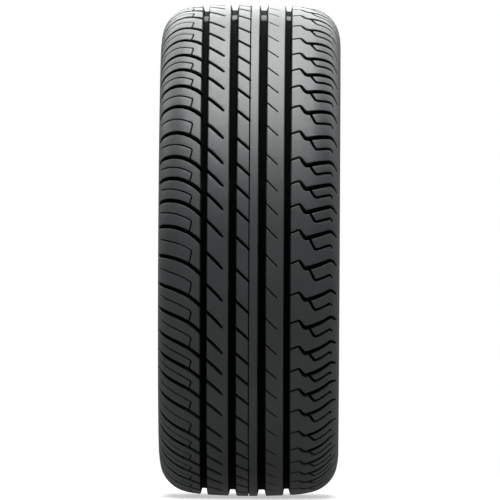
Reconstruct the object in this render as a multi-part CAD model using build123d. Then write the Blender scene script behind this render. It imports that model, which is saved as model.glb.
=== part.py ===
from build123d import *
import os
from math import degrees

# A car tyre in the common size 225/45 R17, moulded in one piece.
# The wheel's centre is the origin, the spin axis is +Y and +Z is up. Lengths are millimetres.
# Seen from +X with the tread in front, the left shoulder is at -Y and the right shoulder at +Y.

# Overall size
OUTER_DIAMETER = 634.0
SEAT_DIAMETER = 435.6
GUARD_WIDTH = 230.8
RIM_WIDTH = 190.5

# Section of the tread and shoulders, as half widths and drops below the crown
CROWN_HALF = 53.0
SHOULDER_HALF = 82.5
SHOULDER_DROP = 6.1
TREAD_EDGE_HALF = 102.5
TREAD_EDGE_DROP = 18.5
BUTTRESS_HALF = 112.0
BUTTRESS_DROP = 37.4

# Section of the sidewall, rim guard and bead, with heights above the rim seat
SIDEWALL_RADIUS = 240.0
GUARD_HEIGHT = 26.0
GUARD_NOSE = 5.0
GUARD_STEP = 1.2
GUARD_RAMP = 2.5
CLINCH_HEIGHT = 10.0
CLINCH_FLARE = 3.0
HEEL_CHAMFER = 3.0
BEAD_WIDTH = 18.0

# Rubber thickness inside the carcass
CROWN_GAUGE = 15.5
SIDEWALL_GAUGE = 9.0
INNER_CROWN_HALF = 78.0

# Four grooves round the tread: place across the width, and width
LEFT_OUTER_GROOVE = -57.4
LEFT_OUTER_WIDTH = 9.0
LEFT_INNER_GROOVE = -20.7
LEFT_INNER_WIDTH = 10.0
RIGHT_INNER_GROOVE = 16.8
RIGHT_INNER_WIDTH = 10.8
RIGHT_OUTER_GROOVE = 48.8
RIGHT_OUTER_WIDTH = 9.0
GROOVE_DEPTH = 8.0

# Shoulder grooves, which run out at the foot of the buttress
SHOULDER_GROOVE_DEPTH = 6.0

# Left shoulder: a groove that leaves its main groove steeply, levels out on a large radius and runs on
SWEEP_WIDTH = 5.0
SWEEP_RADIUS = 64.0
SWEEP_ANGLE = 48.0
SWEEP_RUN = 24.0

# Right shoulder: a narrow rise, a step down and a wide groove that rises to the edge
RISE_WIDTH = 2.4
RISE_REACH = 11.0
RISE_HEIGHT = 3.8
STEP_REACH = 7.0
STEP_DROP = 10.0
WIDE_WIDTH = 5.4
WIDE_RISE = 12.0

# Slanting notches in the second and third ribs
SECOND_RIB_NOTCH_REACH = 19.5
SECOND_RIB_NOTCH_DROP = 20.0
SECOND_RIB_NOTCH_WIDTH = 4.0
THIRD_RIB_NOTCH_REACH = 16.0
THIRD_RIB_NOTCH_DROP = 15.5
THIRD_RIB_NOTCH_WIDTH = 3.6
NOTCH_DEPTH = 6.0

# The pattern repeats in short, medium and long pitches, in a mixed order that keeps the tyre quiet.
# The order runs downwards in front, and starts at the angle of its first groove above the axle.
PITCH_SHARE = {"S": 26, "M": 30, "L": 35}
PITCH_ORDER = "LMMSSMLMSSMLLMMSSMLSSSSMLMSSMLLMSSSMMLMSSMMLSSSMLMSSMMLSSM"
FIRST_PITCH_ANGLE = 70.25
SECOND_RIB_LEAD = 26.5
THIRD_RIB_LEAD = 5.9
RIGHT_SHOULDER_LEAD = 0.333

# Cutters stand proud of the surface, overlap the groove they open into, and reach both ways round the tyre
PROUD = 4.0
OVERLAP = 2.0
CUTTER_REACH = 64.0

outer_radius = OUTER_DIAMETER / 2
seat_radius = SEAT_DIAMETER / 2
crown_inside = outer_radius - CROWN_GAUGE
left_outer_edge = LEFT_OUTER_GROOVE - LEFT_OUTER_WIDTH / 2
right_outer_edge = RIGHT_OUTER_GROOVE + RIGHT_OUTER_WIDTH / 2

# The front of the tread seen flat, with Y across and Z up
# The section through it, with Y across and X up
FRONT = Plane(origin=(0, 0, 0), x_dir=(0, 1, 0), z_dir=(1, 0, 0))
ACROSS = Plane(origin=(0, 0, 0), x_dir=(0, 1, 0), z_dir=(0, 0, -1))


def polygon(*points):
    return make_face(Polyline(*points, close=True))


def half_section():
    """The right half of the section, from the crown round the bead and back inside."""
    guard_half = GUARD_WIDTH / 2
    rim_half = RIM_WIDTH / 2
    guard_top = seat_radius + GUARD_HEIGHT
    tread = Polyline(
        (0, crown_inside),
        (0, outer_radius),
        (CROWN_HALF, outer_radius),
        (SHOULDER_HALF, outer_radius - SHOULDER_DROP),
        (TREAD_EDGE_HALF, outer_radius - TREAD_EDGE_DROP),
        (BUTTRESS_HALF, outer_radius - BUTTRESS_DROP),
    )
    sidewall = RadiusArc(tread @ 1, (guard_half - GUARD_STEP, guard_top + GUARD_RAMP), SIDEWALL_RADIUS)
    bead = Polyline(
        sidewall @ 1,
        (guard_half, guard_top),
        (guard_half, guard_top - GUARD_NOSE),
        (rim_half + CLINCH_FLARE, seat_radius + CLINCH_HEIGHT),
        (rim_half, seat_radius + HEEL_CHAMFER),
        (rim_half - HEEL_CHAMFER, seat_radius),
        (rim_half - BEAD_WIDTH, seat_radius),
    )
    inside = Polyline(
        bead @ 1,
        (guard_half - SIDEWALL_GAUGE, (seat_radius + crown_inside) / 2),
        (INNER_CROWN_HALF, crown_inside),
        (0, crown_inside),
    )
    return make_face(tread.edges() + [sidewall] + bead.edges() + inside.edges())


def main_groove(place, width):
    floor = outer_radius - GROOVE_DEPTH
    top = outer_radius + PROUD
    left = place - width / 2
    right = place + width / 2
    return polygon((left, top), (right, top), (right, floor), (left, floor))


def turned_carcass():
    """The tyre as turned, with its four main grooves and no pattern yet."""
    half = half_section()
    section = half + mirror(half, Plane.YZ)
    section -= main_groove(LEFT_OUTER_GROOVE, LEFT_OUTER_WIDTH)
    section -= main_groove(LEFT_INNER_GROOVE, LEFT_INNER_WIDTH)
    section -= main_groove(RIGHT_INNER_GROOVE, RIGHT_INNER_WIDTH)
    section -= main_groove(RIGHT_OUTER_GROOVE, RIGHT_OUTER_WIDTH)
    return revolve(Plane.YZ * section, Axis.Y)


def shoulder_cutter(outline, side):
    """An outline cut into one shoulder, side -1 or 1, on a floor that follows the section and runs out."""
    start = outer_radius - SHOULDER_GROOVE_DEPTH
    knee = start - SHOULDER_DROP
    top = outer_radius + PROUD
    floor = polygon(
        (side * CROWN_HALF, top),
        (side * CROWN_HALF, start),
        (side * SHOULDER_HALF, knee),
        (side * BUTTRESS_HALF, outer_radius - BUTTRESS_DROP),
        (side * BUTTRESS_HALF, top),
    )
    return extrude(FRONT * outline, top) & extrude(ACROSS * floor, CUTTER_REACH, both=True)


def sweep_cutter():
    """The left shoulder's groove, from its main groove out over the shoulder."""
    start = Vector(left_outer_edge, 0)
    heading = Vector(-1, 0).rotate(Axis.Z, -SWEEP_ANGLE)
    bend = JernArc(start, heading, SWEEP_RADIUS, SWEEP_ANGLE)
    level = Line(bend @ 1, (bend @ 1) - Vector(SWEEP_RUN, 0))
    lead_in = Line(start - heading * OVERLAP, start)
    return shoulder_cutter(trace([lead_in, bend, level], SWEEP_WIDTH), -1)


def step_cutter():
    """The right shoulder's groove: up, a step down, then wide and up to the edge."""
    start = Vector(right_outer_edge, 0)
    crest = start + Vector(RISE_REACH, RISE_HEIGHT)
    foot = crest + Vector(STEP_REACH, -STEP_DROP)
    end = Vector(BUTTRESS_HALF + OVERLAP, foot.Y + WIDE_RISE)
    lead_in = start - Vector(OVERLAP, 0)
    narrow = trace(Polyline(lead_in, start, crest, foot), RISE_WIDTH)
    wide = trace(Line(foot, end), WIDE_WIDTH)
    return shoulder_cutter(narrow + wide, 1)


def notch_cutter(edge, reach, drop, width):
    """A wedge that falls away to the right across a rib from its left edge."""
    top = outer_radius + PROUD
    start = Vector(top, edge, 0)
    run = Vector(0, reach, -drop)
    half_width = width / 2 * (NOTCH_DEPTH + PROUD) / NOTCH_DEPTH
    aside = run.cross(Vector(1, 0, 0)).normalized() * half_width
    start -= run.normalized() * OVERLAP
    bottom = start - Vector(NOTCH_DEPTH + PROUD, 0, 0)
    return extrude(polygon(start + aside, start - aside, bottom), run.length + OVERLAP, dir=run)


def arc_angle(length):
    return degrees(length / outer_radius)


def raised(cutter, angle):
    """The cutter moved from the front of the tread up round the tyre by an angle."""
    return Rot(0, -angle, 0) * cutter


def pattern_cutters():
    sweep = sweep_cutter()
    step = step_cutter()
    second_edge = LEFT_OUTER_GROOVE + LEFT_OUTER_WIDTH / 2
    third_edge = LEFT_INNER_GROOVE + LEFT_INNER_WIDTH / 2
    second = notch_cutter(second_edge, SECOND_RIB_NOTCH_REACH, SECOND_RIB_NOTCH_DROP, SECOND_RIB_NOTCH_WIDTH)
    third = notch_cutter(third_edge, THIRD_RIB_NOTCH_REACH, THIRD_RIB_NOTCH_DROP, THIRD_RIB_NOTCH_WIDTH)
    share_angle = 360 / sum(PITCH_SHARE[letter] for letter in PITCH_ORDER)
    angle = FIRST_PITCH_ANGLE
    cutters = []
    for letter in PITCH_ORDER:
        pitch = PITCH_SHARE[letter] * share_angle
        angle -= pitch
        cutters.append(raised(sweep, angle))
        cutters.append(raised(second, angle + arc_angle(SECOND_RIB_LEAD)))
        cutters.append(raised(third, angle + arc_angle(THIRD_RIB_LEAD)))
        cutters.append(raised(step, angle + RIGHT_SHOULDER_LEAD * pitch))
    return cutters


def tyre():
    return turned_carcass() - pattern_cutters()


os.makedirs("parts", exist_ok=True)
export_step(tyre(), "parts/tyre.step")
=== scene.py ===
from math import asin, ceil, cos, degrees, hypot, pi, radians, sin

import bmesh
import bpy
import numpy as np
from bpy.props import FloatProperty, FloatVectorProperty, PointerProperty
from mathutils import Matrix, Vector
from mathutils.geometry import delaunay_2d_cdt


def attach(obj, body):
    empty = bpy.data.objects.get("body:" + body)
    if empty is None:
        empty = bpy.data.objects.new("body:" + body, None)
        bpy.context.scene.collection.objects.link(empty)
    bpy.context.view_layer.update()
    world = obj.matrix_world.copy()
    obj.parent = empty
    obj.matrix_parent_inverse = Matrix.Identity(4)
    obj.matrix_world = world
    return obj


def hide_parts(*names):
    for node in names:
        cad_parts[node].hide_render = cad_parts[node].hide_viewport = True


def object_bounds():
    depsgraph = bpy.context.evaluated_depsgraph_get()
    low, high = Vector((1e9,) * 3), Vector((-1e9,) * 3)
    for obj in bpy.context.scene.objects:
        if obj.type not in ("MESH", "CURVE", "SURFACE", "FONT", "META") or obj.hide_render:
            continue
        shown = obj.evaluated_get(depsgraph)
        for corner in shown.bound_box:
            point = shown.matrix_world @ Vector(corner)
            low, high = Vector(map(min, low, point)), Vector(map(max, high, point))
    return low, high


bl_info = {
    "name": "Moulded car tyre",
    "version": (1, 0, 0),
    "blender": (4, 5, 0),
    "location": "3D View > Sidebar > Tyre",
    "description": "Moulds a road tyre with its tread pattern over the packed solid, and sets a plain stage",
    "category": "Object",
}

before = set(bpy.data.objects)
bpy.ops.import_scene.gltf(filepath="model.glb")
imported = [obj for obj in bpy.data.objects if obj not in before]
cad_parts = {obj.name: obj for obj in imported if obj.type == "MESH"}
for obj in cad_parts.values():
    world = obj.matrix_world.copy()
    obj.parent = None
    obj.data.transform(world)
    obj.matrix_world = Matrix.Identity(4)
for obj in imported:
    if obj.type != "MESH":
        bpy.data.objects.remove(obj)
CAD_LOW, CAD_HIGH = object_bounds()

# Lengths of the tyre are millimetres, and its mesh is made in metres
MM = 0.001
CROWN_RADIUS = CAD_HIGH.z / MM
GUARD_HALF = CAD_HIGH.y / MM
GIRTH = 2 * pi * CROWN_RADIUS
SEAT_RADIUS = 217.8

# Outer section from the crown to the rim guard: the radius of each arc, and its slope at its end.
# At the half width below, the mesh of the tread ends and that of the walls begins.
SECTION_ARCS = ((900.0, 3.695), (140.0, 13.5), (42.5, 78.0), (95.65, 89.9))
TREAD_END_HALF = 114.9

# The pattern repeats in short, medium and long pitches, downwards in front from the first groove's angle
PITCH_SHARE = {"S": 26, "M": 30, "L": 35}
PITCH_ORDER = "LMMSSMLMSSMLLMMSSMLSSSSMLMSSMLLMSSSMMLMSSMMLSSSMLMSSMMLSSM"
FIRST_PITCH_ANGLE = 70.25

# How far each rib's cuts lie above the left shoulder's, as an arc length or as a share of the pitch,
# and how far the two hooks lie from the grooves they leave, as a share of the pitch
SECOND_RIB_LEAD = 26.5
THIRD_RIB_LEAD = 5.9
FOURTH_RIB_LEAD = -16.2
RIGHT_SHOULDER_LEAD = 0.333
HOOK_SIPE_LEAD = 0.49
HOOK_GROOVE_DROP = 0.455

# Main grooves: place across the tread, width, and radius of the rib edges beside them.
# Their walls draw in by the draft, and a narrow groove runs in the middle of the third rib.
MAIN_GROOVES = ((-57.4, 9.0, 1.3), (-20.7, 10.0, 1.5), (16.8, 10.8, 1.1), (48.8, 9.0, 1.1))
MAIN_DRAFT = 1.9
CENTRE_GROOVE = 0.2

# Wear bars in the main grooves, and how much painted light lifts the painted groove shade off one that faces
# straight up.
# The painted light lessens with this power of a bar's height, and covers the bar's top with a small margin.
WEAR_BARS = 6
WEAR_BAR_ANGLE = 74.0
WEAR_BAR_LENGTH = 21.0
WEAR_BAR_RAMP = 3.0
WEAR_BAR_PAINTED_LIGHT = 0.5
WEAR_BAR_LIGHT_POWER = 3
WEAR_BAR_MARGIN = 0.1

# Left shoulder: where the sweep leaves its main groove, the radius on which it levels out,
# its angle at the start, and the runs that make up its curve
SWEEP_START = -61.9
SWEEP_RADIUS = 64.0
SWEEP_ANGLE = 46.8
SWEEP_RUNS = 6

# The slit above a sweep follows it from its level end, then hooks down to a foot on the sweep itself.
# All three lengths are shares of the sweep's turn.
HOOK_SIPE_RUNS = 5
HOOK_SIPE_RUN = 0.135
HOOK_SIPE_CORNER = 0.262
HOOK_SIPE_FOOT = 0.35

# Width and depth of the narrower cuts, as shares of those that the settings give
WHOLE = (1.0, 1.0)
HOOK_GROOVE_SHARES = (0.62, 0.76)
THIRD_RIB_NOTCH_SHARES = (0.92, 0.93)
CENTRE_GROOVE_SHARES = (0.8, 0.67)

# Corners sharper than this are rounded, over no more than this share of the runs beside them
SHARP_CORNER = radians(14)
ROUND_SHARE = 0.48

# A rounded edge bends between its ends at this share of its radius, and one finer than this has no bend
ROUND_KNEE = 0.293
FINE_EDGE = 0.8

# Outlines of grooves: the least half width, the cosine that limits a corner's reach, and the round ends
LEAST_HALF = 0.05
CORNER_LIMIT = 0.5
CAP_ANGLES = np.radians((45, 0, -45))

# Longest runs of a groove's outline, on the crown and where the shoulder bends
LONGEST_RUN = 9.5
LONGEST_BEND_RUN = 5.2

# Depths from which a groove is wholly in painted shade, on the crown and on the shoulders
DARK_DEPTH = 2.0
SHOULDER_DARK_DEPTH = 1.0

# The tread is meshed in sectors, between rings of points round the tyre.
# Grooves that run round overlap a sector by some rings, and others are tried some turns away.
SECTORS = 12
RING_POINTS = 180
RING_STEP = GIRTH / RING_POINTS
RING_OVERLAP = 2
TURNS = 2

# Points between the grooves: the first one from the crown, the gaps before and after the bend,
# and how many lie on each stretch
FIRST_STOP = 3.5
GAP_BEFORE_BEND = 3.0
GAP_AFTER_BEND = 5.0
CROWN_STOPS = 10
BEND_STOPS = 10
WALL_STOPS = 4

# How clear those points keep of a groove, and how far round a groove points are looked for
CLEAR_OF_GROOVE = 1.6
CLEAR_SEARCH = 3.0
DEPTH_SEARCH = 1.0

# Points this close count as one, on the unrolled tread and, in metres, where the meshes meet.
# Edges this short, in metres, are dissolved, and edges with at least this angle are shaded sharp.
SAME_POINT = 1e-4
WELD_DISTANCE = 1e-5
SLIVER_LENGTH = 1e-7
SHARP_EDGE = radians(52)

# A fine ring climbs over this share of its width, and the fitment line stands this many times as high
RING_CLIMB = 0.25
FITMENT_LINE_TIMES = 1.2

# Zones of the mesh that differ in finish
TREAD, WALL, LINER = 0.0, 1.0, 2.0

# Three noises of the rubber
GRAIN = {"Scale": 1100.0, "Detail": 2.0}
SPECK = {"Scale": 260.0, "Detail": 3.0}
BLOTCH = {"Scale": 16.0, "Detail": 4.0}
NOISE_MEAN = 0.5

# How much dust lies in blotches and in specks, how much painted highlight lightens the rib edges along the
# grooves, and how far walls differ in colour
BLOTCH_DUST = 0.7
SPECK_DUST = 0.3
EDGE_HIGHLIGHT = 1.2
WALL_TINT = 0.6

# How much the roughness varies, how much smoother the walls and the liner are, and the rubber's sheen
SPECK_ROUGHNESS = 0.16
BLOTCH_ROUGHNESS = 0.10
WALL_POLISH = 0.06
LINER_POLISH = 0.05
RUBBER_SPECULAR = 0.5

# Finish inside the grooves: painted shade, near black and nearly without gloss
GROOVE_ROUGHNESS = 0.7
GROOVE_SPECK_ROUGHNESS = 0.2
GROOVE_SPECULAR = 0.01

# Relief of the rubber, and the lines inside: how many, their slant per metre and where they rise on a wave
GRAIN_RELIEF = 0.55
SPECK_RELIEF = 0.45
RELIEF = {"Strength": 0.22, "Distance": 0.0006}
LINER_LINES = 180.0
LINER_SLANT = 420.0
LINER_RISE = 0.85

# Stage in metres: the floor's half width, and where it starts to fade and how far that goes on.
# To the camera the floor is white by this share even beside the tyre.
WHITE = (1, 1, 1, 1)
FLOOR_HALF = 3.0
FADE_START = 0.5
FADE_LENGTH = 1.2
NEAR_WHITE = 0.5

# Soft lamps in metres: name, place, target and size
SOFTBOXES = (
    ("overhead_softbox", (0.3, 0.0, 2.1), (0.2, 0.0, 0.1), (1.6, 2.8)),
    ("back_softbox", (-2.6, 0.0, 1.7), (0.0, 0.0, 0.3), (2.4, 1.6)),
    ("left_softbox", (-1.4, -1.9, 1.65), (0.0, 0.0, 0.15), (1.3, 1.8)),
    ("right_softbox", (-1.4, 1.9, 1.65), (0.0, 0.0, 0.15), (1.3, 1.8)),
)

# Camera: the sensor in millimetres, and how many times its distance it can see
SENSOR_WIDTH = 36.0
SIGHT = 3


class Section:
    """The outer section as a chain of arcs, measured along its surface from the crown."""

    def __init__(self, crown_radius, arcs):
        spans = []
        start = slope = half = 0.0
        height = crown_radius
        for radius, end_degrees in arcs:
            spans.append((start, slope, radius, half, height))
            end = radians(end_degrees)
            start += radius * (end - slope)
            half += radius * (sin(end) - sin(slope))
            height -= radius * (cos(slope) - cos(end))
            slope = end
        self.starts, self.slopes, self.radii, self.halves, self.heights = np.array(spans).T

    def along(self, lateral):
        """The distance along the surface of a place across the tyre, on the side that its sign gives."""
        half = abs(lateral)
        row = int(np.searchsorted(self.halves, half, side="right")) - 1
        slope = asin(min(1.0, sin(self.slopes[row]) + (half - self.halves[row]) / self.radii[row]))
        distance = self.starts[row] + self.radii[row] * (slope - self.slopes[row])
        return distance if lateral >= 0 else -distance

    def place(self, across, depth):
        """Lateral place and radius of points on the surface, sunk by a depth."""
        distance = np.abs(across)
        row = np.clip(np.searchsorted(self.starts, distance, side="right") - 1, 0, len(self.starts) - 1)
        slope = self.slopes[row] + (distance - self.starts[row]) / self.radii[row]
        lateral = self.halves[row] + self.radii[row] * (np.sin(slope) - np.sin(self.slopes[row]))
        radius = self.heights[row] - self.radii[row] * (np.cos(self.slopes[row]) - np.cos(slope))
        lateral = lateral - depth * np.sin(slope)
        return np.sign(across) * lateral, radius - depth * np.cos(slope)


# Distances along the surface from the crown to the tread's end, the shoulder's bend and the wall
SECTION = Section(CROWN_RADIUS, SECTION_ARCS)
TREAD_END = SECTION.along(TREAD_END_HALF)
SHOULDER_START, WALL_START = SECTION.starts[2:]


def rounded(points, radius, steps=3):
    """The path with each sharp corner replaced by a short curve."""
    points = [Vector(point) for point in points]
    smooth = [points[0]]
    for before, corner, after in zip(points, points[1:], points[2:]):
        back = before.xy - corner.xy
        ahead = after.xy - corner.xy
        if back.angle(-ahead) < SHARP_CORNER:
            smooth.append(corner)
            continue
        start = corner.lerp(before, min(ROUND_SHARE, radius / back.length))
        end = corner.lerp(after, min(ROUND_SHARE, radius / ahead.length))
        for step in range(steps + 1):
            share = step / steps
            smooth.append(start.lerp(corner, share).lerp(corner.lerp(end, share), share))
    smooth.append(points[-1])
    return smooth


class Groove:
    """A groove along a path on the unrolled tread, whose points hold two places, width and depth."""

    def __init__(self, path, draft, edge):
        self.path = np.array(path, float)
        self.points = self.path[:, :2]
        self.halves = self.path[:, 2] / 2
        self.depths = self.path[:, 3]
        self.draft = draft
        self.edge = edge
        reach = self.halves.max() + edge
        self.low = self.points.min(0) - reach
        self.high = self.points.max(0) + reach

    def moved(self, shift):
        """The same groove further round the tyre."""
        return Groove(self.path + (shift, 0, 0, 0), self.draft, self.edge)

    def bends(self):
        """Offsets inside the edge at which the wall bends, and the depths there."""
        knee = ROUND_KNEE * self.edge
        return (-self.edge, -knee, 0.0, self.draft), (0.0, knee, self.edge, self.depths.max())

    def outlines(self):
        """Closed outlines round the groove, one for each bend of its wall, with fewer on a fine edge."""
        offsets = [-offset for offset in self.bends()[0]]
        if self.edge < FINE_EDGE:
            del offsets[1]
        return [self.outline(offset) for offset in offsets]

    def outline(self, offset):
        """A closed outline round the groove, at an offset from its edge."""
        heading = np.diff(self.points, axis=0)
        heading /= np.linalg.norm(heading, axis=1)[:, None]
        before = np.vstack((heading[:1], heading))
        after = np.vstack((heading, heading[-1:]))
        mean = before + after
        mean /= np.linalg.norm(mean, axis=1)[:, None]
        side = np.stack((-mean[:, 1], mean[:, 0]), axis=1)
        bend = np.clip((mean * after).sum(1), CORNER_LIMIT, 1.0)
        reach = np.maximum(self.halves + offset, LEAST_HALF)
        shift = side * (reach / bend)[:, None]
        left = self.points + shift
        right = (self.points - shift)[::-1]
        end = self.cap(self.points[-1], heading[-1], reach[-1])
        start = self.cap(self.points[0], -heading[0], reach[0])
        return np.vstack((left, end, right, start))

    @staticmethod
    def cap(centre, heading, reach):
        """Points of the round end of an outline."""
        side = np.array((-heading[1], heading[0]))
        return centre + reach * (np.sin(CAP_ANGLES)[:, None] * side + np.cos(CAP_ANGLES)[:, None] * heading)

    def runs(self, points):
        """For each run of the path, how far points lie from it, and its half width and depth there."""
        for row in range(len(self.points) - 1):
            start = self.points[row]
            run = self.points[row + 1] - start
            share = np.clip((points - start) @ run / (run @ run), 0.0, 1.0)
            away = np.linalg.norm(points - start - share[:, None] * run, axis=1)
            half = self.halves[row] + share * (self.halves[row + 1] - self.halves[row])
            depth = self.depths[row] + share * (self.depths[row + 1] - self.depths[row])
            yield away, half, depth

    def depth_at(self, points):
        """How deep the groove is at points on the unrolled tread."""
        offsets, drops = self.bends()
        deep = np.zeros(len(points))
        for away, half, depth in self.runs(points):
            deep = np.maximum(deep, np.interp(half - away, offsets, drops) * depth / drops[-1])
        return deep

    def room_at(self, points):
        """The least distance of points from the groove's edge, negative inside."""
        return np.min([away - half for away, half, _ in self.runs(points)], axis=0)

    def near(self, points, margin):
        """Which points lie in the groove's box or less than a margin outside."""
        return np.all((points > self.low - margin) & (points < self.high + margin), axis=1)


def cut_size(width, depth, shares=WHOLE):
    """A cut's width and depth in millimetres, as shares of settings in metres."""
    return width / MM * shares[0], depth / MM * shares[1]


def unrolled(points, angle):
    """Front-view points of lateral place, rise, width and depth, laid on the tread at an angle."""
    path = []
    for lateral, rise, width, depth in points:
        across = SECTION.along(lateral)
        radius = float(SECTION.place(np.array(across), 0.0)[1])
        path.append((CROWN_RADIUS * (radians(angle) + asin(rise / radius)), across, width, depth))
    return divided(path)


def divided(path):
    """The path with its long runs divided, more finely where the shoulder bends."""
    fine = [path[0]]
    for start, end in zip(path, path[1:]):
        on_bend = max(abs(start[1]), abs(end[1])) > SHOULDER_START
        limit = LONGEST_BEND_RUN if on_bend else LONGEST_RUN
        steps = ceil(hypot(end[0] - start[0], end[1] - start[1]) / limit)
        for step in range(1, steps + 1):
            fine.append(tuple(a + (b - a) * step / steps for a, b in zip(start, end)))
    return fine


def sweep_point(turn):
    """Lateral place and rise on the left shoulder's sweep, from its main groove, 0, to its level end, 1."""
    angle = radians(90 - SWEEP_ANGLE * (1 - turn))
    level = SWEEP_START - SWEEP_RADIUS * sin(radians(SWEEP_ANGLE))
    base = -SWEEP_RADIUS * cos(radians(SWEEP_ANGLE))
    return level + SWEEP_RADIUS * cos(angle), base + SWEEP_RADIUS * sin(angle)


def sweep_groove(angle, shape):
    """Left shoulder: out of the main groove, round the shoulder and out at the buttress."""
    width, depth = cut_size(shape.sweep_width, shape.shoulder_depth)
    level = sweep_point(1)[1]
    points = [(SWEEP_START + 2.2, -2.4, width, depth)]
    points += [(*sweep_point(step / SWEEP_RUNS), width, depth) for step in range(SWEEP_RUNS + 1)]
    points += [
        (-111.6, level - 0.3, width, depth * 0.8),
        (-113.4, level - 1.0, width, depth * 0.42),
        (-114.45, level - 1.9, width * 0.7, depth * 0.02),
    ]
    return Groove(unrolled(points, angle), draft=0.9, edge=0.9)


def hook_sipe(angle, lift, shape):
    """Left shoulder: a thin slit between two sweeps that hooks down into the lower one."""
    width, depth = cut_size(shape.sipe_width, shape.sipe_depth)
    turns = [1 - step * HOOK_SIPE_RUN for step in range(HOOK_SIPE_RUNS + 1)]
    points = [(-112.0, sweep_point(1)[1] + lift, width, depth * 0.25)]
    for turn in (*turns, HOOK_SIPE_CORNER):
        lateral, rise = sweep_point(turn)
        points.append((lateral, rise + lift, width, depth))
    lateral, rise = sweep_point(HOOK_SIPE_FOOT)
    points.append((lateral + 0.6, rise + 1.5, width, depth))
    return Groove(unrolled(rounded(points, radius=4.0), angle), draft=0.35, edge=0.5)


def step_groove(angle, shape):
    """Right shoulder: a thin rise, a step down and a wide groove up to the edge, with a tail down."""
    width, depth = cut_size(shape.wide_width, shape.shoulder_depth)
    points = (
        (51.0, -1.0, width * 0.43, depth),
        (53.3, 0.0, width * 0.43, depth),
        (62.0, 3.6, width * 0.46, depth),
        (64.6, 3.9, width * 0.56, depth),
        (70.2, -4.8, width * 0.88, depth),
        (73.0, -6.5, width * 1.1, depth),
        (90.0, -1.3, width, depth),
        (103.6, 3.8, width * 0.9, depth * 0.9),
        (107.4, 2.0, width * 0.75, depth * 0.7),
        (111.2, -3.4, width * 0.6, depth * 0.2),
    )
    return Groove(unrolled(rounded(points, radius=2.2), angle), draft=0.8, edge=0.9)


def hook_groove(angle, drop, shape):
    """Right shoulder: a narrow groove that drops from the wide one, runs beside it and ends in a tick."""
    width, depth = cut_size(shape.wide_width, shape.shoulder_depth, HOOK_GROOVE_SHARES)
    points = (
        (77.4, -5.2, width, depth),
        (78.2, -5.6 - drop * 0.18, width, depth),
        (84.0, -3.2 - drop * 0.96, width, depth),
        (88.0, -2.0 - drop, width, depth),
        (98.0, 1.8 - drop, width, depth),
        (104.2, 4.2 - drop, width, depth * 0.85),
        (105.8, 0.0 - drop, width * 0.8, depth * 0.4),
    )
    return Groove(unrolled(rounded(points, radius=2.4), angle), draft=0.5, edge=0.6)


def second_rib_notch(angle, shape):
    """Second rib: a wide notch that slants down from its left edge."""
    width, depth = cut_size(shape.notch_width, shape.notch_depth)
    points = (
        (-54.6, 1.7, width, depth),
        (-52.9, 0.0, width, depth),
        (-44.5, -8.0, width, depth),
        (-38.0, -14.9, width * 0.95, depth),
        (-33.6, -20.0, width * 0.7, depth * 0.77),
    )
    return Groove(unrolled(points, angle), draft=0.9, edge=0.7)


def third_rib_notch(angle, shape):
    """Third rib: a notch that slants down to the narrow groove in the rib's middle."""
    width, depth = cut_size(shape.notch_width, shape.notch_depth, THIRD_RIB_NOTCH_SHARES)
    points = (
        (-17.4, 1.7, width, depth),
        (-15.7, 0.0, width, depth),
        (-7.5, -7.7, width, depth),
        (0.3, -15.5, width * 0.8, depth * 0.82),
    )
    return Groove(unrolled(points, angle), draft=0.9, edge=0.6)


def fourth_rib_sipe(angle, shape):
    """Fourth rib: a thin slit that slants down from its left edge."""
    width, depth = cut_size(shape.sipe_width, shape.sipe_depth)
    points = (
        (20.6, 1.6, width, depth),
        (22.2, 0.0, width, depth),
        (29.0, -7.2, width, depth),
        (35.8, -14.0, width * 0.9, depth * 0.8),
    )
    return Groove(unrolled(points, angle), draft=0.3, edge=0.4)


def arc_degrees(length):
    """The angle of a length round the crown."""
    return degrees(length / CROWN_RADIUS)


def arc_length(angle):
    """The length round the crown of an angle in degrees."""
    return radians(angle) * CROWN_RADIUS


def pattern_grooves(shape):
    """All grooves that repeat with the pitch, each placed once round the tyre."""
    share_angle = 360 / sum(PITCH_SHARE[letter] for letter in PITCH_ORDER)
    pitches = [PITCH_SHARE[letter] * share_angle for letter in PITCH_ORDER]
    angle = FIRST_PITCH_ANGLE
    grooves = []
    for pitch, next_pitch in zip(pitches, pitches[1:] + pitches[:1]):
        angle -= pitch
        right_angle = angle + RIGHT_SHOULDER_LEAD * pitch
        right_pitch = next_pitch + RIGHT_SHOULDER_LEAD * (pitch - next_pitch)
        grooves += [
            sweep_groove(angle, shape),
            hook_sipe(angle, arc_length(HOOK_SIPE_LEAD * pitch), shape),
            second_rib_notch(angle + arc_degrees(SECOND_RIB_LEAD), shape),
            third_rib_notch(angle + arc_degrees(THIRD_RIB_LEAD), shape),
            fourth_rib_sipe(angle + arc_degrees(FOURTH_RIB_LEAD), shape),
            step_groove(right_angle, shape),
            hook_groove(right_angle, arc_length(HOOK_GROOVE_DROP * right_pitch), shape),
        ]
    return grooves


def wear_bar_places(low, high):
    """Where the wear bars near a stretch of the unrolled tread have their middles."""
    first = arc_length(WEAR_BAR_ANGLE)
    spacing = GIRTH / WEAR_BARS
    places = [first + row * spacing for row in range(-TURNS * WEAR_BARS, TURNS * WEAR_BARS)]
    margin = WEAR_BAR_LENGTH * 2
    return [place for place in places if low - margin < place < high + margin]


def ring_rows(low, high, overlap=0):
    """Numbers of the rings from one end of a sector to the other."""
    return range(round(low / RING_STEP) - overlap, round(high / RING_STEP) + overlap + 1)


def ring_groove(lateral, width, depth, draft, edge, low, high):
    """A stretch of a groove that runs round the tyre at one depth."""
    across = SECTION.along(lateral)
    path = [(row * RING_STEP, across, width, depth) for row in ring_rows(low, high, RING_OVERLAP)]
    return Groove(path, draft, edge)


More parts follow.
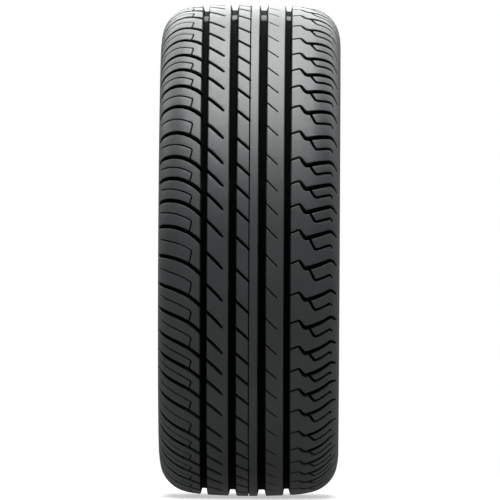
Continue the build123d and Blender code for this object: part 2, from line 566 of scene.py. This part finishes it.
def barred_groove(lateral, width, edge, low, high, shape):
    """A stretch of a main groove, shallower over its wear bars."""
    depth = shape.main_depth / MM
    shallow = depth - shape.wear_bar_height / MM
    plain = ring_groove(lateral, width, depth, MAIN_DRAFT, edge, low, high)
    first, last = plain.points[0, 0], plain.points[-1, 0]
    across = plain.points[0, 1]
    stops = {place: depth for place in plain.points[:, 0]}
    half = WEAR_BAR_LENGTH / 2
    for middle in wear_bar_places(low, high):
        stops = {place: deep for place, deep in stops.items() if abs(place - middle) > half + WEAR_BAR_RAMP}
        stops[middle - half - WEAR_BAR_RAMP] = depth
        stops[middle - half] = shallow
        stops[middle + half] = shallow
        stops[middle + half + WEAR_BAR_RAMP] = depth
    path = [(place, across, width, stops[place]) for place in sorted(stops) if first <= place <= last]
    return Groove(path, MAIN_DRAFT, edge)


def sector_grooves(low, high, pattern, shape):
    """The grooves that reach into a sector of the tread, moved by whole turns where they must be."""
    found = []
    for groove in pattern:
        for turn in range(-TURNS, TURNS + 1):
            shift = turn * GIRTH
            if groove.low[0] + shift < high and groove.high[0] + shift > low:
                found.append(groove.moved(shift))
    for lateral, width, edge in MAIN_GROOVES:
        found.append(barred_groove(lateral, width, edge, low, high, shape))
    width, depth = cut_size(shape.sipe_width, shape.sipe_depth, CENTRE_GROOVE_SHARES)
    found.append(ring_groove(CENTRE_GROOVE, width, depth, draft=0.25, edge=0.35, low=low, high=high))
    return found


def across_stops():
    """Places across the unrolled tread for points between the grooves, closer on the bend."""
    half = list(np.linspace(FIRST_STOP, SHOULDER_START - GAP_BEFORE_BEND, CROWN_STOPS))
    half += list(np.linspace(SHOULDER_START, WALL_START, BEND_STOPS))
    half += list(np.linspace(WALL_START + GAP_AFTER_BEND, TREAD_END, WALL_STOPS))
    return sorted([-place for place in half] + half)


def clear_points(rings, stops, grooves):
    """Points of a grid that lie on the ribs, clear of all grooves."""
    grid = np.array([(ring, stop) for ring in rings for stop in stops])
    clear = np.ones(len(grid), bool)
    for groove in grooves:
        near = groove.near(grid, CLEAR_SEARCH)
        clear[near] &= groove.room_at(grid[near]) > groove.edge + CLEAR_OF_GROOVE
    return grid[clear]


def sunk_depth(flat, grooves):
    """How deep the deepest groove is at points on the unrolled tread."""
    depth = np.zeros(len(flat))
    for groove in grooves:
        near = groove.near(flat, DEPTH_SEARCH)
        depth[near] = np.maximum(depth[near], groove.depth_at(flat[near]))
    return depth


def painted_groove_shade(flat, depth):
    """How far points lie in the painted shade of a groove, from 0 on a rib to 1, and less on wear bars that
    face up, as painted light.
    """
    on_shoulder = np.abs(flat[:, 1]) > SHOULDER_START
    # Painted shade: darker with a groove's depth, and wholly so at a smaller depth on the shoulders
    share = np.minimum(depth / np.where(on_shoulder, SHOULDER_DARK_DEPTH, DARK_DEPTH), 1)
    for lateral, width, _ in MAIN_GROOVES:
        half_floor = width / 2 - MAIN_DRAFT + WEAR_BAR_MARGIN
        on_floor = np.abs(flat[:, 1] - SECTION.along(lateral)) < half_floor
        for middle in wear_bar_places(flat[:, 0].min(), flat[:, 0].max()):
            on_bar = on_floor & (np.abs(flat[:, 0] - middle) < WEAR_BAR_LENGTH / 2 + WEAR_BAR_MARGIN)
            # Painted light: a bar higher up the tyre faces the light above and keeps less of the painted
            # groove shade
            facing_up = max(0.0, sin(middle / CROWN_RADIUS))
            share[on_bar] *= 1 - WEAR_BAR_PAINTED_LIGHT * facing_up ** WEAR_BAR_LIGHT_POWER
    return share


def sector_mesh(low, high, pattern, shape):
    """Points, depths and triangles of a sector of the tread, on the unrolled surface."""
    grooves = sector_grooves(low, high, pattern, shape)
    points = []
    edges = []

    def add_line(line, closed):
        first = len(points)
        points.extend(map(tuple, line))
        edges.extend((row, row + 1) for row in range(first, len(points) - 1))
        if closed:
            edges.append((len(points) - 1, first))

    for groove in grooves:
        for outline in groove.outlines():
            add_line(outline, True)
    rings = [row * RING_STEP for row in ring_rows(low, high)]
    stops = across_stops()
    points.extend(map(tuple, clear_points(rings[1:-1], stops[1:-1], grooves)))
    for ring in (low, high):
        add_line([(ring, stop) for stop in stops], False)
    for end in (-TREAD_END, TREAD_END):
        add_line([(ring, end) for ring in rings], False)
    flat, _, faces, *_ = delaunay_2d_cdt([Vector(point) for point in points], edges, [], 0, SAME_POINT)
    flat = np.array([tuple(point) for point in flat])
    faces = np.array(faces)
    middle = flat[faces].mean(1)
    inside = (middle[:, 0] > low) & (middle[:, 0] < high) & (np.abs(middle[:, 1]) < TREAD_END)
    used, faces = np.unique(faces[inside], return_inverse=True)
    flat = flat[used]
    return flat, sunk_depth(flat, grooves), faces.reshape(-1, 3)


def turned(radius, lateral, angle):
    """Points in metres from radii, lateral places and angles about the spin axis."""
    return np.stack((radius * np.cos(angle), lateral, radius * np.sin(angle)), axis=1) * MM


def tread_mesh(shape):
    """Points in metres, shares of painted groove shade and triangles of the whole tread."""
    pattern = pattern_grooves(shape)
    step = RING_POINTS // SECTORS * RING_STEP
    places = []
    shares = []
    triangles = []
    count = 0
    for sector in range(SECTORS):
        flat, depth, faces = sector_mesh(sector * step, (sector + 1) * step, pattern, shape)
        lateral, radius = SECTION.place(flat[:, 1], depth)
        places.append(turned(radius, lateral, flat[:, 0] / CROWN_RADIUS))
        shares.append(painted_groove_shade(flat, depth))
        triangles.append(faces + count)
        count += len(flat)
    return np.vstack(places), np.concatenate(shares), np.vstack(triangles)


def spline(points, steps):
    """A smooth line through half-section points."""
    points = [Vector(point) for point in points]
    padded = [points[0], *points, points[-1]]
    line = []
    for p0, p1, p2, p3 in zip(padded, padded[1:], padded[2:], padded[3:]):
        for step in range(steps):
            u = step / steps
            line.append(
                (
                    2 * p1
                    + (p2 - p0) * u
                    + (2 * p0 - 5 * p1 + 4 * p2 - p3) * u ** 2
                    + (3 * p1 - p0 - 3 * p2 + p3) * u ** 3
                )
                / 2
            )
    line.append(points[-1])
    return line


def raised_ring(start, end, height):
    """Four section points of a fine ring that stands out from the wall between two points."""
    start = Vector(start)
    run = Vector(end) - start
    out = Vector((-run.y, run.x)).normalized() * height
    return [start, start + run * RING_CLIMB + out, start + run * (1 - RING_CLIMB) + out, start + run]


def wall_rows(shape):
    """Half widths, radii and zones over the sidewall, round the bead and along the inside."""
    height = shape.ring_height / MM
    tread_end = [float(value) for value in SECTION.place(np.array(TREAD_END), 0.0)]
    guard = (
        (114.5, 262.4),
        (113.9, 259.0),
        (113.6, 254.0),
        (113.7, 250.4),
        (114.1, 248.4),
        (114.75, 247.0),
        (GUARD_HALF - 0.2, 246.1),
        (GUARD_HALF - 0.05, 244.5),
        (GUARD_HALF - 0.05, 241.2),
        (GUARD_HALF - 0.5, 239.4),
        (GUARD_HALF - 1.8, 238.2),
        (110.0, 235.7),
    )
    bead = (
        (100.2, 229.0),
        (98.0, 226.6),
        (96.2, 223.0),
        (95.25, 220.4),
        (94.2, 218.6),
        (92.4, SEAT_RADIUS),
    )
    inside = (
        (86.0, SEAT_RADIUS),
        (80.5, SEAT_RADIUS),
        (78.4, SEAT_RADIUS + 0.1),
        (77.3, SEAT_RADIUS + 1.0),
        (78.0, SEAT_RADIUS + 2.8),
        (86.0, 232.5),
        (96.5, 246.5),
        (104.4, 258.0),
        (106.0, 264.5),
        (103.5, 273.0),
        (96.0, 284.5),
        (86.0, 295.0),
        (78.0, 300.2),
        (70.0, 301.5),
        (0.0, 301.5),
    )
    wall = [tread_end]
    wall += raised_ring((114.8, 266.2), (114.75, 263.6), height)
    wall += spline(guard, steps=2)
    wall += raised_ring((104.6, 231.9), (102.6, 230.6), height * FITMENT_LINE_TIMES)
    wall += spline(bead, steps=2)
    return [(*row, WALL) for row in wall] + [(*row, LINER) for row in inside]


def wall_mesh(shape, first):
    """Points in metres, zones and quads from one end of the tread round the inside to the other."""
    half = np.array(wall_rows(shape))
    rows = np.vstack((half, half[-2::-1] * (-1, 1, 1)))
    angles = np.arange(RING_POINTS) * 2 * pi / RING_POINTS
    lateral, radius, zone = (np.repeat(column, RING_POINTS) for column in rows.T)
    places = turned(radius, lateral, np.tile(angles, len(rows)))
    corner = np.arange((len(rows) - 1) * RING_POINTS).reshape(-1, RING_POINTS) + first
    beside = np.roll(corner, -1, axis=1)
    quads = np.stack((corner, beside, beside + RING_POINTS, corner + RING_POINTS), axis=2)
    return places, zone, quads.reshape(-1, 4)


def weld(mesh):
    """Joins what meets in a mesh, smooths its faces, and raises where it isn't closed."""
    built = bmesh.new()
    built.from_mesh(mesh)
    bmesh.ops.remove_doubles(built, verts=built.verts, dist=WELD_DISTANCE)
    bmesh.ops.dissolve_degenerate(built, edges=built.edges, dist=SLIVER_LENGTH)
    bmesh.ops.recalc_face_normals(built, faces=built.faces)
    for face in built.faces:
        face.smooth = True
    open_edges = sum(len(edge.link_faces) != 2 for edge in built.edges)
    built.to_mesh(mesh)
    built.free()
    if open_edges:
        raise RuntimeError(f"The tyre's mesh has {open_edges} open edges")


def moulded_mesh(mesh, shape):
    """The whole tyre as one closed mesh, with its share of painted groove shade and its zones kept at each
    point.
    """
    tread, shares, triangles = tread_mesh(shape)
    wall, zone, quads = wall_mesh(shape, len(tread))
    mesh.from_pydata(np.vstack((tread, wall)), [], triangles.tolist() + quads.tolist())
    for name, on_tread, on_wall in (
        ("painted_groove_shade", shares, np.zeros(len(wall))),
        ("zone", np.full(len(tread), TREAD), zone),
    ):
        layer = mesh.attributes.new(name, "FLOAT", "POINT")
        layer.data.foreach_set("value", np.concatenate((on_tread, on_wall)))
    weld(mesh)
    mesh.set_sharp_from_angle(angle=SHARP_EDGE)


class Shade:
    """A socket in a shader's nodes. Arithmetic on it adds Math nodes, and node() adds any other node."""

    def __init__(self, tree, socket=None):
        self.tree = tree
        self.socket = socket

    def node(self, kind, settings, sockets, output=0):
        """Adds a node: its settings are set first, then its sockets are given values or links."""
        made = self.tree.nodes.new(kind)
        for name, value in settings.items():
            setattr(made, name, value)
        for name, value in sockets.items():
            if isinstance(value, Shade):
                self.tree.links.new(value.socket, made.inputs[name])
            else:
                made.inputs[name].default_value = value
        return Shade(self.tree, made.outputs[output]) if made.outputs else None

    def math(self, operation, first, second=0.0):
        """A Math node on sockets or numbers."""
        return self.node("ShaderNodeMath", {"operation": operation}, {0: first, 1: second})

    def __add__(self, other):
        return self.math("ADD", self, other)

    def __radd__(self, other):
        return self.math("ADD", other, self)

    def __sub__(self, other):
        return self.math("SUBTRACT", self, other)

    def __rsub__(self, other):
        return self.math("SUBTRACT", other, self)

    def __mul__(self, other):
        return self.math("MULTIPLY", self, other)

    def __rmul__(self, other):
        return self.math("MULTIPLY", other, self)

    def __truediv__(self, other):
        return self.math("DIVIDE", self, other)

    def __rtruediv__(self, other):
        return self.math("DIVIDE", other, self)

    def at_most(self, other):
        return self.math("MINIMUM", self, other)

    def at_least(self, other):
        return self.math("MAXIMUM", self, other)

    def blend(self, factor, first, second):
        """A colour between two others."""
        sockets = {"Factor": factor, "A": first, "B": second}
        return self.node("ShaderNodeMix", {"data_type": "RGBA"}, sockets, "Result")


def empty_nodes(owner):
    """The cleared nodes of a material or world, to add to."""
    owner.use_nodes = True
    owner.node_tree.nodes.clear()
    return Shade(owner.node_tree)


def rubber_material(finish):
    """Black rubber: grained and dusty on the tread, with painted highlights along the groove edges, smoother
    on the walls, lined inside, and painted near black in the grooves as painted shade.
    """
    material = bpy.data.materials.new("tread_rubber")
    shade = empty_nodes(material)
    place = shade.node("ShaderNodeTexCoord", {}, {}, "Object")
    grain = shade.node("ShaderNodeTexNoise", {}, {"Vector": place, **GRAIN})
    speck = shade.node("ShaderNodeTexNoise", {}, {"Vector": place, **SPECK})
    blotch = shade.node("ShaderNodeTexNoise", {}, {"Vector": place, **BLOTCH})
    # Painted shade: how far the near black groove finish covers a point
    sunk = shade.node("ShaderNodeAttribute", {"attribute_name": "painted_groove_shade"}, {}, "Fac")
    zone = shade.node("ShaderNodeAttribute", {"attribute_name": "zone"}, {}, "Fac")
    wall = zone.at_most(WALL)
    liner = (zone - WALL).at_least(0.0)
    # Painted highlight: lighter along the groove edges, where the painted groove shade is partial
    edge = sunk * (1 - sunk)
    dust_and_edge_highlight = blotch * BLOTCH_DUST + speck * SPECK_DUST + edge * EDGE_HIGHLIGHT
    tread = shade.blend(dust_and_edge_highlight.at_most(1.0), (*finish.clean_colour, 1), (*finish.dust_and_highlight_colour, 1))
    colour = shade.blend(wall * WALL_TINT, tread, (*finish.wall_colour, 1))
    speckle = speck - NOISE_MEAN
    uneven = finish.roughness + speckle * SPECK_ROUGHNESS + (blotch - NOISE_MEAN) * BLOTCH_ROUGHNESS
    roughness = uneven - wall * WALL_POLISH - liner * LINER_POLISH
    height = grain * GRAIN_RELIEF + speck * SPECK_RELIEF + liner * liner_lines(shade, place)
    normal = shade.node("ShaderNodeBump", {}, {"Height": height, **RELIEF})
    outer = shade.node(
        "ShaderNodeBsdfPrincipled",
        {},
        {
            "Base Color": colour,
            "Roughness": roughness,
            "Normal": normal,
            "Specular IOR Level": RUBBER_SPECULAR,
        },
    )
    # Painted shade: near black, nearly glossless rubber for the grooves
    groove_shade_shader = shade.node(
        "ShaderNodeBsdfPrincipled",
        {},
        {
            "Base Color": (*finish.groove_shade_colour, 1),
            "Roughness": GROOVE_ROUGHNESS + speckle * GROOVE_SPECK_ROUGHNESS,
            "Normal": normal,
            "Specular IOR Level": GROOVE_SPECULAR,
        },
    )
    surface = shade.node("ShaderNodeMixShader", {}, {"Fac": sunk, 1: outer, 2: groove_shade_shader})
    shade.node("ShaderNodeOutputMaterial", {}, {"Surface": surface})
    return material


def liner_lines(shade, place):
    """Fine slanting lines, as the mould's bladder leaves them on the inside."""
    front, across, up = (shade.node("ShaderNodeSeparateXYZ", {}, {"Vector": place}, axis) for axis in "XYZ")
    turn = shade.math("ARCTAN2", up, front)
    wave = shade.math("SINE", turn * LINER_LINES + across * LINER_SLANT)
    return ((wave - LINER_RISE) / (1 - LINER_RISE)).at_least(0.0)


class TyreShape(bpy.types.PropertyGroup):
    """The sizes of the grooves and the sidewall's rings."""

    main_depth: FloatProperty(
        name="Main groove depth", description="Depth of the four grooves round the tread", unit="LENGTH",
        precision=4, default=8.0 * MM
    )
    shoulder_depth: FloatProperty(
        name="Shoulder groove depth", description="Depth of the grooves across the shoulders", unit="LENGTH",
        precision=4, default=6.6 * MM
    )
    notch_depth: FloatProperty(
        name="Notch depth", description="Depth of the slanting notches in the ribs", unit="LENGTH",
        precision=4, default=6.0 * MM
    )
    sipe_depth: FloatProperty(
        name="Sipe depth", description="Depth of the thin slits", unit="LENGTH",
        precision=4, default=4.5 * MM
    )
    sweep_width: FloatProperty(
        name="Sweep width", description="Width of the left shoulder's grooves", unit="LENGTH",
        precision=4, default=5.2 * MM
    )
    wide_width: FloatProperty(
        name="Wide groove width", description="Width of the right shoulder's grooves", unit="LENGTH",
        precision=4, default=5.4 * MM
    )
    notch_width: FloatProperty(
        name="Notch width", description="Width of the notches in the second rib", unit="LENGTH",
        precision=4, default=4.0 * MM
    )
    sipe_width: FloatProperty(
        name="Sipe width", description="Width of the thin slits", unit="LENGTH",
        precision=4, default=1.6 * MM
    )
    wear_bar_height: FloatProperty(
        name="Wear bar height", description="Height of the bars across the main grooves", unit="LENGTH",
        precision=4, default=1.6 * MM
    )
    ring_height: FloatProperty(
        name="Ring height", description="Height of the fine rings on the sidewall", unit="LENGTH",
        precision=4, default=0.5 * MM
    )


class TyreFinish(bpy.types.PropertyGroup):
    """The look of the rubber."""

    # Painted shade: the near black colour of the grooves
    groove_shade_colour: FloatVectorProperty(
        name="Groove colour", description="Rubber painted near black in the grooves as shade", subtype="COLOR",
        default=(0.0008, 0.0010, 0.0010)
    )
    clean_colour: FloatVectorProperty(
        name="Clean colour", description="Clean rubber", subtype="COLOR", default=(0.019, 0.024, 0.024)
    )
    # Dust on the tread, also used as painted highlight along the groove edges
    dust_and_highlight_colour: FloatVectorProperty(
        name="Dusty colour", description="Rubber with a trace of dust", subtype="COLOR",
        default=(0.045, 0.053, 0.053)
    )
    wall_colour: FloatVectorProperty(
        name="Wall colour", description="Rubber of the sidewalls and the inside", subtype="COLOR",
        default=(0.021, 0.025, 0.025)
    )
    roughness: FloatProperty(
        name="Roughness", description="Mean roughness of the rubber", subtype="FACTOR",
        default=0.5, min=0, max=1
    )


class StageLook(bpy.types.PropertyGroup):
    """The floor, the lamps and the camera."""

    floor_colour: FloatVectorProperty(
        name="Floor colour", description="Colour of the pale floor", subtype="COLOR",
        default=(0.80, 0.80, 0.80)
    )
    bounce_colour: FloatVectorProperty(
        name="Floor bounce", description="Light that the floor throws back on the tyre", subtype="COLOR",
        default=(0.42, 0.42, 0.42)
    )
    floor_gloss: FloatProperty(
        name="Floor in gloss", description="How bright the floor is in reflections", subtype="FACTOR",
        default=0.27, min=0, max=1
    )
    sky_gloss: FloatProperty(
        name="Background in gloss", description="How bright the background is in reflections",
        subtype="FACTOR", default=0.27, min=0, max=1
    )
    ambient: FloatProperty(
        name="Ambient light", description="Strength of the light from all round", subtype="FACTOR",
        default=0.17, min=0, max=1
    )
    overhead_power: FloatProperty(
        name="Overhead light", description="Power of the soft light above", unit="POWER", default=150.0
    )
    back_power: FloatProperty(
        name="Back light", description="Power of the soft light behind", unit="POWER", default=82.0
    )
    left_power: FloatProperty(
        name="Left light", description="Power of the soft light on the left", unit="POWER", default=30.0
    )
    right_power: FloatProperty(
        name="Right light", description="Power of the soft light on the right", unit="POWER", default=20.0
    )
    yaw: FloatProperty(
        name="Camera yaw", description="Turn of the camera off the tyre's front", subtype="ANGLE",
        default=radians(0.3)
    )
    roll: FloatProperty(
        name="Camera roll", description="Lean of the camera", subtype="ANGLE", default=radians(0.315)
    )
    lens: FloatProperty(name="Lens", description="Focal length of the camera", unit="CAMERA", default=985.0)
    frame_width: FloatProperty(
        name="Frame width", description="Width of the view at the tyre", unit="LENGTH", default=0.6443
    )


def linked(name, data):
    """A new object of the scene that holds the data."""
    made = bpy.data.objects.new(name, data)
    bpy.context.scene.collection.objects.link(made)
    return made


class TYRE_OT_moulded_tyre(bpy.types.Operator):
    """Mould the tyre in one piece with its tread pattern, and let it stand for the solid"""

    bl_idname = "tyre.moulded_tyre"
    bl_label = "Moulded tyre"

    def execute(self, context):
        mesh = bpy.data.meshes.new("moulded_tyre")
        moulded_mesh(mesh, context.scene.tyre_shape)
        mesh.materials.append(rubber_material(context.scene.tyre_finish))
        piece = linked("moulded_tyre", mesh)
        weighted = piece.modifiers.new("even_normals", "WEIGHTED_NORMAL")
        weighted.keep_sharp = True
        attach(piece, "root")
        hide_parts("tyre")
        return {"FINISHED"}


def soft_lamp(name, place, target, size, power):
    """A soft lamp that the camera doesn't see."""
    data = bpy.data.lights.new(name, "AREA")
    data.shape = "RECTANGLE"
    data.size, data.size_y = size
    data.energy = power
    lamp = linked(name, data)
    lamp.location = place
    lamp.rotation_euler = (Vector(target) - Vector(place)).to_track_quat("-Z", "Y").to_euler()
    lamp.visible_camera = False


def ray_kinds(shade):
    """1 for the rays that come from the camera, from a gloss or through a clear piece, and 0 for others."""
    rays = ("Is Camera Ray", "Is Glossy Ray", "Is Transmission Ray")
    return [shade.node("ShaderNodeLightPath", {}, {}, ray) for ray in rays]


def floor_material(look):
    """A pale floor that keeps the shadow and is white to the camera further off."""
    material = bpy.data.materials.new("pale_floor")
    shade = empty_nodes(material)
    camera, glossy, through = ray_kinds(shade)
    tone = shade.blend(camera, (*look.bounce_colour, 1), (*look.floor_colour, 1))
    dull = shade.node("ShaderNodeBsdfDiffuse", {}, {"Color": tone})
    strength = camera + through + glossy * look.floor_gloss
    glow = shade.node("ShaderNodeEmission", {}, {"Color": WHITE, "Strength": strength})
    place = shade.node("ShaderNodeTexCoord", {}, {}, "Object")
    away = shade.node("ShaderNodeVectorMath", {"operation": "LENGTH"}, {0: place}, "Value")
    far = ((away - FADE_START) / FADE_LENGTH).at_least(0.0).at_most(1.0)
    seen = camera * (NEAR_WHITE + far * (1 - NEAR_WHITE)) + glossy + through
    mixed = shade.node("ShaderNodeMixShader", {}, {"Fac": seen.at_most(1.0), 1: dull, 2: glow})
    shade.node("ShaderNodeOutputMaterial", {}, {"Surface": mixed})
    return material


class TYRE_OT_stage(bpy.types.Operator):
    """Lay the pale floor, hang the soft lamps and set the camera at axle height"""

    bl_idname = "tyre.stage"
    bl_label = "Stage"

    def execute(self, context):
        scene = context.scene
        look = scene.stage_look
        scene.view_settings.view_transform = "Standard"
        self.floor(look)
        self.world(scene, look)
        powers = (look.overhead_power, look.back_power, look.left_power, look.right_power)
        for softbox, power in zip(SOFTBOXES, powers):
            soft_lamp(*softbox, power)
        self.camera(scene, look)
        return {"FINISHED"}

    @staticmethod
    def floor(look):
        """A wide plain floor under the tyre."""
        mesh = bpy.data.meshes.new("floor")
        sides = ((-1, -1), (1, -1), (1, 1), (-1, 1))
        corners = [(x * FLOOR_HALF, y * FLOOR_HALF, CAD_LOW.z) for x, y in sides]
        mesh.from_pydata(corners, [], [(0, 1, 2, 3)])
        mesh.materials.append(floor_material(look))
        floor = linked("floor", mesh)

    @staticmethod
    def world(scene, look):
        """Even light from all round, white to the camera."""
        world = bpy.data.worlds.new("soft_room")
        scene.world = world
        shade = empty_nodes(world)
        camera, glossy, through = ray_kinds(shade)
        strength = look.ambient + (camera + through) * (1.0 - look.ambient)
        strength = strength + glossy * (look.sky_gloss - look.ambient)
        sky = shade.node("ShaderNodeBackground", {}, {"Color": WHITE, "Strength": strength})
        shade.node("ShaderNodeOutputWorld", {}, {"Surface": sky})

    @staticmethod
    def camera(scene, look):
        """A long lens at axle height, with a small turn and lean."""
        data = bpy.data.cameras.new("photo_camera")
        data.lens = look.lens
        data.sensor_width = SENSOR_WIDTH
        distance = look.frame_width * look.lens / SENSOR_WIDTH
        data.clip_end = distance * SIGHT
        back = Vector((cos(look.yaw), sin(look.yaw), 0))
        facing = (-back).to_track_quat("-Z", "Y").to_matrix().to_4x4()
        turned_camera = facing @ Matrix.Rotation(look.roll, 4, "Z")
        camera = linked("photo_camera", data)
        camera.matrix_world = Matrix.Translation(back * distance) @ turned_camera
        scene.camera = camera


class TYRE_PT_panel(bpy.types.Panel):
    """Lists the tyre's steps and settings"""

    bl_idname = "TYRE_PT_panel"
    bl_label = "Tyre"
    bl_space_type = "VIEW_3D"
    bl_region_type = "UI"
    bl_category = "Tyre"

    def draw(self, context):
        layout = self.layout
        for operator in OPERATORS:
            layout.operator(operator.bl_idname)
        for group in (context.scene.tyre_shape, context.scene.tyre_finish, context.scene.stage_look):
            box = layout.box()
            for name in group.__annotations__:
                box.prop(group, name)


OPERATORS = (TYRE_OT_moulded_tyre, TYRE_OT_stage)
CLASSES = (TyreShape, TyreFinish, StageLook, *OPERATORS, TYRE_PT_panel)


def register():
    for cls in CLASSES:
        bpy.utils.register_class(cls)
    bpy.types.Scene.tyre_shape = PointerProperty(type=TyreShape)
    bpy.types.Scene.tyre_finish = PointerProperty(type=TyreFinish)
    bpy.types.Scene.stage_look = PointerProperty(type=StageLook)


def unregister():
    del bpy.types.Scene.stage_look
    del bpy.types.Scene.tyre_finish
    del bpy.types.Scene.tyre_shape
    for cls in reversed(CLASSES):
        bpy.utils.unregister_class(cls)


def main():
    register()
    bpy.ops.tyre.moulded_tyre()
    bpy.ops.tyre.stage()


if __name__ == "__main__":
    main()
